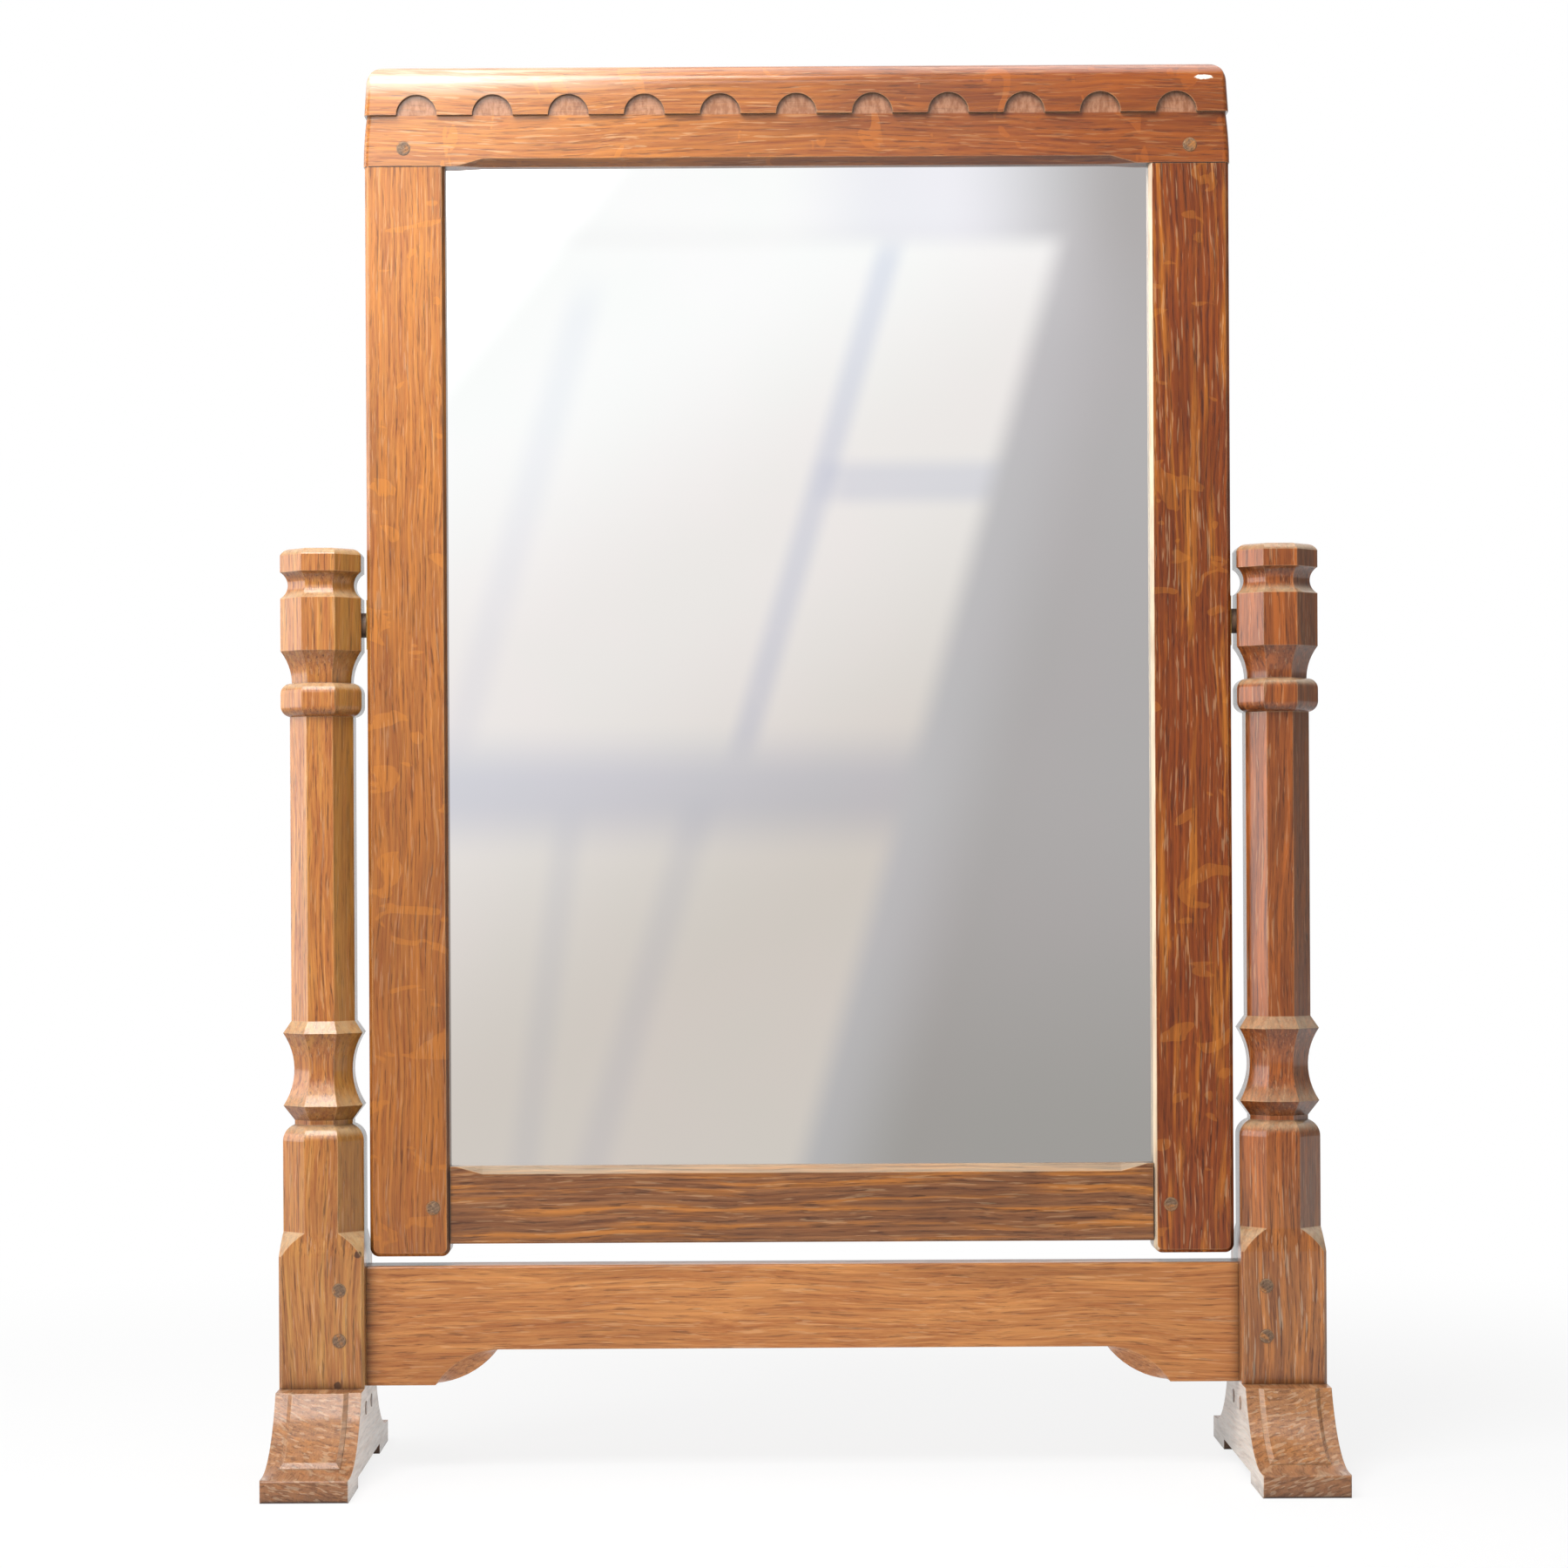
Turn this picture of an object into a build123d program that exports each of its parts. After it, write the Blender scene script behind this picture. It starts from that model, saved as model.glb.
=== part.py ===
from build123d import *
import os
from math import sqrt

# Swing mirror in oak, for a dressing table. A mortised frame with a looking glass turns on two pins
# between carved octagonal posts, which stand on sledge feet and are tied by a shaped rail.
# Millimetres, +Z up, the front faces -Y. The origin is on the floor under the middle of the stand.

# Frame
sight_w = 369.0           # clear width of glass between the stiles
stile_w = 42.0
stile_h = 571.5           # from the stile's lower end to the top rail's underside
frame_t = 21.0            # stiles, and the plain part of the top rail
horn_h = 6.5              # stile below the bottom rail
horn_round = 4.6
bottom_rail_h = 40.5
bottom_rail_setback = 1.0
sight_chamfer = 4.0       # on the front edges round the glass
chamfer_runout = 14.0     # a rail's chamfer fades out over this length
chamfer_stop = 6.0        # and ends this far from the stile
outer_chamfer = 1.8
back_chamfer = 0.8

# Top rail with its cut crest
top_rail_h = 53.0
crest_h = 26.5            # the proud band
crest_proud = 2.5
crest_corner = 11.0
crest_lean = 1.8          # each end leans in towards the top
crest_round_front = 11.0
crest_round_back = 6.0
end_round = 3.0           # on the front edges of the rail's ends
end_over = 0.7            # the rail's ends stand out past the stiles
end_waist = 1.8           # and draw in towards the crest
lunette_r = 10.6
lunette_count = 11
lunette_end = 27.5        # first lunette's centre to the rail's end

# Frame joints
tenon_t = 8.0
cheek_gap = 0.05          # between a tenon and its mortise, on each side
mortise_space = 1.0       # past the end of a tenon
stile_tenon_l = 22.0
stile_tenon_inset = 5.5   # from the stile's outer edge
stile_tenon_clear = 1.5   # from the back panel's rebate
rail_tenon_h = 22.0
rail_tenon_inset = 4.0    # above the bottom rail's lower edge
rail_tenon_end = 12.0     # wood left in the stile past the tenon
peg_d = 7.0
peg_proud = 0.3
top_peg_in = 6.1          # from the tenon's inner edge
top_peg_up = 9.4          # above the stile's shoulder
low_peg_in = 8.9          # past the bottom rail's shoulder
low_peg_up = 19.0         # above the bottom rail's lower edge

# Glass and back
lip_t = 7.0
glass_rebate = 6.0
glass_clear = 1.0
glass_t = 4.0
slip_t = 4.0
slip_w = 9.0
panel_rebate = 14.0
panel_clear = 0.5

# Pivots
pivot_gap = 3.2           # between a stile and its post
plate_l = 26.0
plate_w = 12.0
plate_t = 2.0
plate_proud = 0.7
pin_d = 8.0
pin_in_bush = 16.0
shank_d = 5.0
shank_l = 14.0
pin_clear = 0.05          # on the radius, in the bush
bush_d = 12.0
bush_l = 18.0
washer_d = 13.0
washer_clear = 0.2        # left between the washer and the plate
washer_bore_clear = 0.3   # on the radius

# Posts: widths across the flats, then heights from the foot up
post_w = 44.5
block_w = 42.4
neck_w = 30.4
spool_w = 41.7
spool_waist_w = 30.6
shaft_w = 33.3
bead_w = 42.5
bead_side_h = 6.5         # the bead's upright part
taper_w = 31.2
barrel_w = 42.4
cap_neck_w = 34.8
cap_w = 42.5
cap_flat_w = 31.6
base_h = 69.0
stop_h = 12.0
block_h = 47.5
shoulder_h = 8.5
neck_h = 2.3
under_flare_h = 7.7
spool_h = 38.0
flare_h = 6.3
shaft_h = 159.5
bead_h = 17.7
taper_h = 16.8
barrel_h = 27.7
cap_cove_h = 13.7
cap_side_h = 8.8
cap_dome_h = 3.5
dome_bow = 0.9            # how far the cap's edge bulges from a straight bevel
stop_bow = 0.8            # and the same for the chamfer stops
base_arris = 1.0          # taken off the square base's corners, measured on the diagonal
post_tenon_t = 15.0
post_tenon_w = 39.0
post_tenon_l = 30.0

# Base rail
base_rail_h = 62.5
base_rail_t = 20.0
arch_h = 18.6             # from the feet's tops to the rail's underside
bracket_flat = 36.0
bracket_w = 33.0
bracket_bow = 4.1         # the bracket's rounded outline
scoop_bow = 4.7           # the hollow cut into its front edge
scoop_t = 9.0             # how far back the hollow runs
rail_arris = 1.5
base_tenon_t = 9.0
base_tenon_l = 28.0
base_tenon_inset = 5.0
base_peg_in = 13.0        # from the post's inner face
base_peg_low = 25.0       # above the foot's top
base_peg_high = 51.3
swing_gap = 5.0           # between the rail and the frame's lower end

# Feet
foot_l = 207.0
foot_w = 44.5
foot_h = 46.0
foot_flat = 74.0          # length of the level top
toe_h = 11.5
toe_ledge = 8.5           # level part behind the toe's edge
toe_round = 1.3
panel_w = 31.0            # raised panel on the hollow slope
panel_raise = 2.6
panel_bevel = 2.2
panel_low = 23.5          # from the toe's end to the panel's lower edge
relief_l = 111.0          # the hollow under the foot, which leaves a pad at each end
relief_h = 5.5
foot_peg_spread = 28.0
foot_peg_down = 11.0      # below the foot's top

# Places worked out from the sizes
z_stop = foot_h + base_h
z_block = z_stop + stop_h
z_shoulder = z_block + block_h
z_neck = z_shoulder + shoulder_h
z_under = z_neck + neck_h
z_low_flare = z_under + under_flare_h
z_high_flare = z_low_flare + spool_h
z_shaft = z_high_flare + flare_h
z_bead = z_shaft + shaft_h
z_taper = z_bead + bead_h
z_barrel = z_taper + taper_h
z_cove = z_barrel + barrel_h
z_cap = z_cove + cap_cove_h
z_dome = z_cap + cap_side_h
z_post_top = z_dome + cap_dome_h
pivot_z = (z_barrel + z_cove) / 2

sight_x = sight_w / 2
frame_x = sight_x + stile_w
frame_w = 2 * frame_x
rail_tenon_l = stile_w - rail_tenon_end
tenon_in = sight_x + panel_rebate + stile_tenon_clear     # the stile tenon's edges
tenon_out = frame_x - stile_tenon_inset
barrel_x = frame_x + pivot_gap              # the post's face at the pivot
post_x = barrel_x + barrel_w / 2
inner_x = post_x - post_w / 2               # the square base's inner face
rail_top = foot_h + base_rail_h
frame_low = rail_top + swing_gap
bottom_rail_low = frame_low + horn_h
sight_low = bottom_rail_low + bottom_rail_h
sight_high = frame_low + stile_h
frame_high = sight_high + top_rail_h
crest_low = frame_high - crest_h
front_y = -frame_t / 2
back_y = frame_t / 2
glass_front = front_y + lip_t
glass_back = glass_front + glass_t
panel_front = glass_back + slip_t
slope_run = (foot_l - foot_flat) / 2 - toe_ledge
slope_rise = foot_h - toe_h
slope_r = (slope_run**2 + slope_rise**2) / (2 * slope_rise)


def box(x0, x1, y0, y1, z0, z1):
    """A box given by its corners."""
    return Pos((x0 + x1) / 2, (y0 + y1) / 2, (z0 + z1) / 2) * Box(abs(x1 - x0), abs(y1 - y0), abs(z1 - z0))


def rod_x(x0, x1, y, z, diameter):
    """A round bar along X."""
    return Pos((x0 + x1) / 2, y, z) * Rot(0, 90, 0) * Cylinder(diameter / 2, abs(x1 - x0))


def rod_y(y0, y1, x, z, diameter):
    """A round bar along Y."""
    return Pos(x, (y0 + y1) / 2, z) * Rot(90, 0, 0) * Cylinder(diameter / 2, abs(y1 - y0))


def seen_from_front(outline, y0, y1):
    """Extrude an X-Z outline from y0 to y1."""
    return extrude(Plane.XZ.offset(-y0) * make_face(outline), amount=y0 - y1)


def mirrored(piece):
    return mirror(piece, about=Plane.YZ)


def bowed(start, end, bow):
    """An arc from start to end that leaves the straight line by bow, to the right of the way it goes."""
    run, rise = end[0] - start[0], end[1] - start[1]
    length = sqrt(run**2 + rise**2)
    middle = ((start[0] + end[0]) / 2 + bow * rise / length, (start[1] + end[1]) / 2 - bow * run / length)
    return ThreePointArc(start, middle, end)


def stopped_chamfer(length, size, runout):
    """Cutter for a 45 degree chamfer along X whose ends fade out. The edge lies on the X axis, and the
    wood on its +Y and +Z sides."""
    half, over = length / 2, 0.5
    ends = [(-half, 0), (half, 0)]
    inner = [(-half + runout, size), (half - runout, size)]
    a, b = Vector(ends[0][0], 0, 0), Vector(ends[1][0], 0, 0)
    a_up, b_up = Vector(inner[0][0], 0, size), Vector(inner[1][0], 0, size)
    a_in, b_in = Vector(inner[0][0], size, 0), Vector(inner[1][0], size, 0)
    sheets = [[a, b, b_up, a_up], [a, b, b_in, a_in], [a_up, b_up, b_in, a_in], [a, a_up, a_in], [b, b_up, b_in]]
    return Solid(Shell([Face(Wire.make_polygon(corners, close=True)) for corners in sheets]))


# Frame


def stile_shape():
    """The right-hand stile, with its tenon up into the top rail."""
    stile = box(sight_x, frame_x, front_y, back_y, frame_low, sight_high)
    stile = fillet(stile.edges().filter_by(Axis.Y).group_by(Axis.Z)[0], horn_round)
    outer = stile.edges().filter_by(Axis.Z).group_by(Axis.X)[-1]
    stile = chamfer(outer.sort_by(Axis.Y)[0], outer_chamfer)
    outer = stile.edges().filter_by(Axis.Z).group_by(Axis.X)[-1]
    stile = chamfer(outer.sort_by(Axis.Y)[-1], back_chamfer)
    stile += box(tenon_in, tenon_out, -tenon_t / 2, tenon_t / 2, sight_high, sight_high + stile_tenon_l)
    length = sight_high - sight_low
    cutter = stopped_chamfer(length + 2 * chamfer_runout, sight_chamfer, chamfer_runout)
    cutter &= Box(length, 4 * sight_chamfer, 4 * sight_chamfer)
    stile -= Pos(sight_x, front_y, (sight_low + sight_high) / 2) * Rot(0, 90, 0) * Rot(-90, 0, 0) * cutter
    stile -= glass_space() + panel_space()
    stile -= box(0, sight_x + rail_tenon_l + mortise_space,
                 -tenon_t / 2 - cheek_gap, tenon_t / 2 + cheek_gap,
                 bottom_rail_low + rail_tenon_inset - cheek_gap,
                 bottom_rail_low + rail_tenon_inset + rail_tenon_h + cheek_gap)
    stile -= frame_peg_rods()
    return stile - plate_blank() - rod_x(frame_x, frame_x - shank_l, 0, pivot_z, shank_d)


def top_rail_shape():
    """Plain band below, proud crest above, joined by the step that the lunettes are cut into."""
    low_x = frame_x + end_over
    waist_x = low_x - end_waist
    band = [Line((-low_x, sight_high), (low_x, sight_high)),
            bowed((low_x, sight_high), (waist_x, crest_low), end_waist / 4),
            Line((waist_x, crest_low), (-waist_x, crest_low)),
            bowed((-waist_x, crest_low), (-low_x, sight_high), end_waist / 4)]
    plain = seen_from_front(band, front_y, back_y)
    ends = plain.edges().filter_by(GeomType.CIRCLE)
    plain = fillet(ends.group_by(Axis.Y)[0], end_round)
    rail = plain + crest_shape()
    for x in lunette_places():
        rail -= rod_y(front_y - 2 * crest_proud, front_y, x, crest_low, 2 * lunette_r)
    cutter = stopped_chamfer(sight_w - 2 * chamfer_stop, sight_chamfer, chamfer_runout)
    rail -= Pos(0, front_y, sight_high) * cutter
    rail -= glass_space() + panel_space()
    for side in (-1, 1):
        rail -= box(side * (tenon_in - cheek_gap), side * (tenon_out + cheek_gap),
                    -tenon_t / 2 - cheek_gap, tenon_t / 2 + cheek_gap,
                    sight_high, sight_high + stile_tenon_l + mortise_space)
    return rail - frame_peg_rods()


def crest_shape():
    """The crest's front view, with leaning ends and round corners, crossed with its rounded end view."""
    lean_x = frame_x - crest_lean
    front = Polygon((-frame_x, crest_low), (frame_x, crest_low), (lean_x, frame_high), (-lean_x, frame_high),
                    align=None)
    front = fillet(front.vertices().group_by(Axis.Y)[-1], crest_corner)
    proud_y = front_y - crest_proud
    crest = extrude(Plane.XZ.offset(-proud_y) * front, amount=proud_y - back_y)
    face = crest.faces().sort_by(Axis.Y)[0]
    level = face.edges().filter_by(Axis.X)
    crest = fillet([edge for edge in face.edges() if edge not in level], end_round)
    end_view = box(-frame_w, frame_w, proud_y, back_y, crest_low - 1, frame_high)
    top = end_view.edges().filter_by(Axis.X).group_by(Axis.Z)[-1].sort_by(Axis.Y)
    end_view = fillet(top[0], crest_round_front)
    top = end_view.edges().filter_by(Axis.X).group_by(Axis.Z)[-1].sort_by(Axis.Y)
    end_view = fillet(top[-1], crest_round_back)
    return crest & end_view


def lunette_places():
    pitch = (frame_w - 2 * lunette_end) / (lunette_count - 1)
    return [-frame_x + lunette_end + pitch * index for index in range(lunette_count)]


def bottom_rail_shape():
    rail = box(-sight_x, sight_x, front_y + bottom_rail_setback, back_y, bottom_rail_low, sight_low)
    low_edges = rail.edges().filter_by(Axis.X).group_by(Axis.Z)[0]
    rail = chamfer(low_edges, back_chamfer)
    low = bottom_rail_low + rail_tenon_inset
    rail += box(-sight_x - rail_tenon_l, sight_x + rail_tenon_l, -tenon_t / 2, tenon_t / 2,
                low, low + rail_tenon_h)
    cutter = stopped_chamfer(sight_w - chamfer_stop, sight_chamfer, chamfer_runout)
    rail -= Pos(0, front_y + bottom_rail_setback, sight_low) * Rot(-90, 0, 0) * cutter
    return rail - glass_space() - panel_space() - frame_peg_rods()


def glass_space():
    side = sight_x + glass_rebate
    return box(-side, side, glass_front, back_y + 1, sight_low - glass_rebate, sight_high + glass_rebate)


def panel_space():
    side = sight_x + panel_rebate
    return box(-side, side, panel_front, back_y + 1, sight_low - panel_rebate, sight_high + panel_rebate)


def frame_peg_rods(proud=0.0):
    """The four pegs through the corner joints: the frame's holes, or with proud the pegs themselves."""
    places = [(tenon_in + top_peg_in, sight_high + top_peg_up), (sight_x + low_peg_in, bottom_rail_low + low_peg_up)]
    return Part() + [rod_y(front_y - proud, back_y + proud, side * x, z, peg_d)
                     for side in (-1, 1) for x, z in places]


def mirror_glass_shape():
    over = glass_rebate - glass_clear
    glass = box(-sight_x - over, sight_x + over, glass_front, glass_back, sight_low - over, sight_high + over)
    return glass


def glass_slips_shape():
    """Four slips behind the glass: two upright, and two between them."""
    out = sight_x + glass_rebate - panel_clear
    low, high = sight_low - glass_rebate + panel_clear, sight_high + glass_rebate - panel_clear
    slips = box(out - slip_w, out, glass_back, panel_front, low, high)
    slips += mirrored(slips)
    for z0, z1 in ((low, low + slip_w), (high - slip_w, high)):
        slips += box(-out + slip_w + panel_clear, out - slip_w - panel_clear, glass_back, panel_front, z0, z1)
    return slips


def back_panel_shape():
    side = sight_x + panel_rebate - panel_clear
    return box(-side, side, panel_front, back_y,
               sight_low - panel_rebate + panel_clear, sight_high + panel_rebate - panel_clear)


# Pivots, on the right-hand side


def plate_face():
    return frame_x + plate_proud


def plate_blank():
    return box(plate_face() - plate_t, plate_face(), -plate_w / 2, plate_w / 2,
               pivot_z - plate_l / 2, pivot_z + plate_l / 2)


def pivot_plate_shape():
    return plate_blank() - rod_x(plate_face() - plate_t, plate_face(), 0, pivot_z, shank_d)


def pivot_pin_shape():
    """A stud: its shank is driven into the stile, and its journal turns in the post's bush."""
    journal = rod_x(plate_face(), barrel_x + pin_in_bush, 0, pivot_z, pin_d)
    return journal + rod_x(frame_x - shank_l, plate_face(), 0, pivot_z, shank_d)


def pivot_bush_shape():
    bush = rod_x(barrel_x, barrel_x + bush_l, 0, pivot_z, bush_d)
    return bush - rod_x(barrel_x, barrel_x + bush_l, 0, pivot_z, pin_d + 2 * pin_clear)


def friction_washer_shape():
    inner = plate_face() + washer_clear
    washer = rod_x(inner, barrel_x, 0, pivot_z, washer_d)
    return washer - rod_x(inner, barrel_x, 0, pivot_z, pin_d + 2 * washer_bore_clear)


# Stand


def post_outline(base_half, stop_edge):
    """Half of the post's side view, from the axis out to the base and up to the cap."""
    points = [(0, foot_h), (base_half, foot_h), (base_half, z_stop)]
    spool_middle = (z_low_flare + z_high_flare) / 2
    bead_low = (z_bead + z_taper - bead_side_h) / 2
    return [Line(points[0], points[1]),
            Line(points[1], points[2]),
            stop_edge,
            Line((block_w / 2, z_block), (block_w / 2, z_shoulder)),
            TangentArc((block_w / 2, z_shoulder), (neck_w / 2, z_neck), tangent=(0, 1)),
            Line((neck_w / 2, z_neck), (neck_w / 2, z_under)),
            Line((neck_w / 2, z_under), (spool_w / 2, z_low_flare)),
            ThreePointArc((spool_w / 2, z_low_flare), (spool_waist_w / 2, spool_middle),
                          (spool_w / 2, z_high_flare)),
            Line((spool_w / 2, z_high_flare), (shaft_w / 2, z_shaft)),
            Line((shaft_w / 2, z_shaft), (shaft_w / 2, z_bead)),
            TangentArc((bead_w / 2, bead_low), (shaft_w / 2, z_bead), tangent=(0, -1)),
            Line((bead_w / 2, bead_low), (bead_w / 2, bead_low + bead_side_h)),
            TangentArc((bead_w / 2, bead_low + bead_side_h), (taper_w / 2, z_taper), tangent=(0, 1)),
            TangentArc((taper_w / 2, z_taper), (barrel_w / 2, z_barrel), tangent=(0, 1)),
            Line((barrel_w / 2, z_barrel), (barrel_w / 2, z_cove)),
            ThreePointArc((barrel_w / 2, z_cove), (cap_neck_w / 2, (z_cove + z_cap) / 2), (cap_w / 2, z_cap)),
            Line((cap_w / 2, z_cap), (cap_w / 2, z_dome)),
            bowed((cap_w / 2, z_dome), (cap_flat_w / 2, z_post_top), dome_bow),
            Line((cap_flat_w / 2, z_post_top), (0, z_post_top)),
            Line((0, z_post_top), points[0])]


def post_side(base_half, stop_edge):
    """The side view extruded right across, so that four of them crossed leave the carved octagon."""
    half = make_face(post_outline(base_half, stop_edge))
    return extrude(Plane.XZ * (half + mirror(half, about=Plane.YZ)), amount=post_w, both=True)


def carved_post():
    """Two side views crossed square give the flats, and two at 45 degrees cut the corners away down to
    the stops, which run out on the square base."""
    flat_stop = Line((post_w / 2, z_stop), (block_w / 2, z_block))
    corner = post_w / sqrt(2) - base_arris
    corner_stop = bowed((corner, z_stop), (block_w / 2, z_block), stop_bow)
    flats = post_side(post_w / 2, flat_stop)
    corners = post_side(corner, corner_stop)
    return flats & (Rot(0, 0, 90) * flats) & (Rot(0, 0, 45) * corners) & (Rot(0, 0, 135) * corners)


def post_shape():
    post = Pos(post_x, 0, 0) * carved_post()
    post += box(post_x - post_tenon_t / 2, post_x + post_tenon_t / 2, -post_tenon_w / 2, post_tenon_w / 2,
                foot_h - post_tenon_l, foot_h)
    post -= box(0, inner_x + base_tenon_l + mortise_space,
                -base_tenon_t / 2 - cheek_gap, base_tenon_t / 2 + cheek_gap,
                foot_h + base_tenon_inset - cheek_gap, rail_top - base_tenon_inset + cheek_gap)
    post -= rod_x(0, barrel_x + bush_l, 0, pivot_z, bush_d)
    return post - post_peg_rods() - foot_peg_rods()


def post_peg_rods(proud=0.0):
    reach = post_w / 2 + proud
    places = [inner_x + base_peg_in], [foot_h + base_peg_low, foot_h + base_peg_high]
    return Part() + [rod_y(-reach, reach, x, z, peg_d) for x in places[0] for z in places[1]]


def foot_peg_rods(proud=0.0):
    reach = foot_w / 2 + proud
    z = foot_h - foot_peg_down
    return Part() + [rod_x(post_x - reach, post_x + reach, side * foot_peg_spread / 2, z, peg_d)
                     for side in (-1, 1)]


def base_rail_shape():
    flat_x = inner_x - bracket_flat
    arch_x = flat_x - bracket_w
    arch_z = foot_h + arch_h
    outline = [Line((-inner_x, rail_top), (inner_x, rail_top)),
               Line((inner_x, rail_top), (inner_x, foot_h)),
               Line((inner_x, foot_h), (flat_x, foot_h)),
               bowed((flat_x, foot_h), (arch_x, arch_z), -bracket_bow),
               Line((arch_x, arch_z), (-arch_x, arch_z)),
               bowed((-arch_x, arch_z), (-flat_x, foot_h), -bracket_bow),
               Line((-flat_x, foot_h), (-inner_x, foot_h)),
               Line((-inner_x, foot_h), (-inner_x, rail_top))]
    rail = seen_from_front(outline, -base_rail_t / 2, base_rail_t / 2)
    rail = fillet(rail.edges().filter_by(Axis.X).group_by(Axis.Z)[-1], rail_arris)
    scoop = bracket_scoop(flat_x, arch_x, arch_z)
    rail -= scoop + mirrored(scoop)
    tenon = box(inner_x - bracket_flat / 2, inner_x + base_tenon_l, -base_tenon_t / 2, base_tenon_t / 2,
                foot_h + base_tenon_inset, rail_top - base_tenon_inset)
    rail += tenon + mirrored(tenon)
    pegs = post_peg_rods()
    return rail - pegs - mirrored(pegs)


def bracket_scoop(flat_x, arch_x, arch_z):
    """A gouge cut that hollows the bracket's front edge and dies out on its rounded outline."""
    low, high, over = (flat_x, foot_h), (arch_x, arch_z), 0.8
    slices = []
    for y, bow in ((-base_rail_t / 2, -scoop_bow), (-base_rail_t / 2 + scoop_t, bracket_bow)):
        inner = bowed(low, high, -bow)
        outer = bowed(high, low, bracket_bow + over)
        slices.append(Plane.XZ.offset(-y) * make_face([inner, outer]))
    return loft(slices, ruled=True)


def foot_side(toe_y):
    """The foot's side view from the middle out to the toe, drawn towards -Y."""
    slope_y = toe_y + toe_ledge
    top_y = -foot_flat / 2
    return [Line((0, 0), (toe_y, 0)),
            Line((toe_y, 0), (toe_y, toe_h)),
            Line((toe_y, toe_h), (slope_y, toe_h)),
            TangentArc((slope_y, toe_h), (top_y, foot_h), tangent=(1, 0)),
            Line((top_y, foot_h), (0, foot_h)),
            Line((0, foot_h), (0, 0))]


def slope_panel():
    """The raised panel that follows the front slope, bevelled down to the margins."""
    toe_y = -foot_l / 2
    centre_y, centre_z = toe_y + toe_ledge, toe_h + slope_r
    sunk = 1.0
    ring = Cylinder(slope_r + sunk, panel_w) - Cylinder(slope_r - panel_raise, panel_w)
    ring = Pos(0, centre_y, centre_z) * Rot(0, 90, 0) * ring
    panel = ring & box(-panel_w, panel_w, toe_y + panel_low, 0, 0, foot_h)
    curved = [edge for edge in panel.edges().filter_by(GeomType.CIRCLE)
              if abs(edge.radius - slope_r + panel_raise) < 0.01]
    lower = panel.edges().filter_by(Axis.X).sort_by(Axis.Y)[:2]
    curved.append(max(lower, key=lambda edge: edge.center().Z))
    return chamfer(curved, panel_bevel)


def foot_shape():
    toe_y = -foot_l / 2
    half = make_face(foot_side(toe_y))
    side = half + mirror(half, about=Plane.YZ)
    foot = extrude(Plane.YZ * side, amount=foot_w / 2, both=True)
    for end in (0, -1):
        foot = fillet(foot.faces().sort_by(Axis.Y)[end].edges(), toe_round)
    panel = slope_panel()
    foot += panel
    foot += mirror(panel, about=Plane.XZ)
    foot -= box(-foot_w, foot_w, -relief_l / 2, relief_l / 2, -1, relief_h)
    foot = Pos(post_x, 0, 0) * foot
    foot -= box(post_x - post_tenon_t / 2 - cheek_gap, post_x + post_tenon_t / 2 + cheek_gap,
                -post_tenon_w / 2 - cheek_gap, post_tenon_w / 2 + cheek_gap,
                foot_h - post_tenon_l - mortise_space, foot_h + 1)
    return foot - foot_peg_rods()


nodes = {
    "top_rail": top_rail_shape(),
    "bottom_rail": bottom_rail_shape(),
    "frame_pegs": frame_peg_rods(peg_proud),
    "mirror_glass": mirror_glass_shape(),
    "glass_slips": glass_slips_shape(),
    "back_panel": back_panel_shape(),
    "base_rail": base_rail_shape(),
}

pegs = post_peg_rods(peg_proud)
nodes["post_pegs"] = pegs + mirrored(pegs)

paired = {
    "stile": stile_shape(),
    "pivot_plate": pivot_plate_shape(),
    "pivot_pin": pivot_pin_shape(),
    "post": post_shape(),
    "foot": foot_shape(),
    "foot_pegs": foot_peg_rods(peg_proud),
    "pivot_bush": pivot_bush_shape(),
    "friction_washer": friction_washer_shape(),
}
for name, piece in paired.items():
    nodes["right_" + name] = piece
    nodes["left_" + name] = mirrored(piece)

os.makedirs("parts", exist_ok=True)
for name, piece in nodes.items():
    export_step(piece, f"parts/{name}.step")
print(f"pivot {pivot_z:.1f}, post top {z_post_top:.1f}, frame {frame_low:.1f} to {frame_high:.1f}, "
      f"width {2 * post_x + post_w:.1f}, slope radius {slope_r:.1f}")
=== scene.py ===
# %% [markdown]
# # Dressing a swing mirror in waxed oak
# The joiner's model is already exact: stiles, rails, posts, feet, pegs and pivots are solids of real size.
# Here they get their wood, glass and metal, a few small fastenings, a camera and soft studio light. Loading
# the model comes first, because every piece that is added takes its place from it.

# %% Load the model
import math
import bpy
import bmesh
from mathutils import Matrix, Vector


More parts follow.
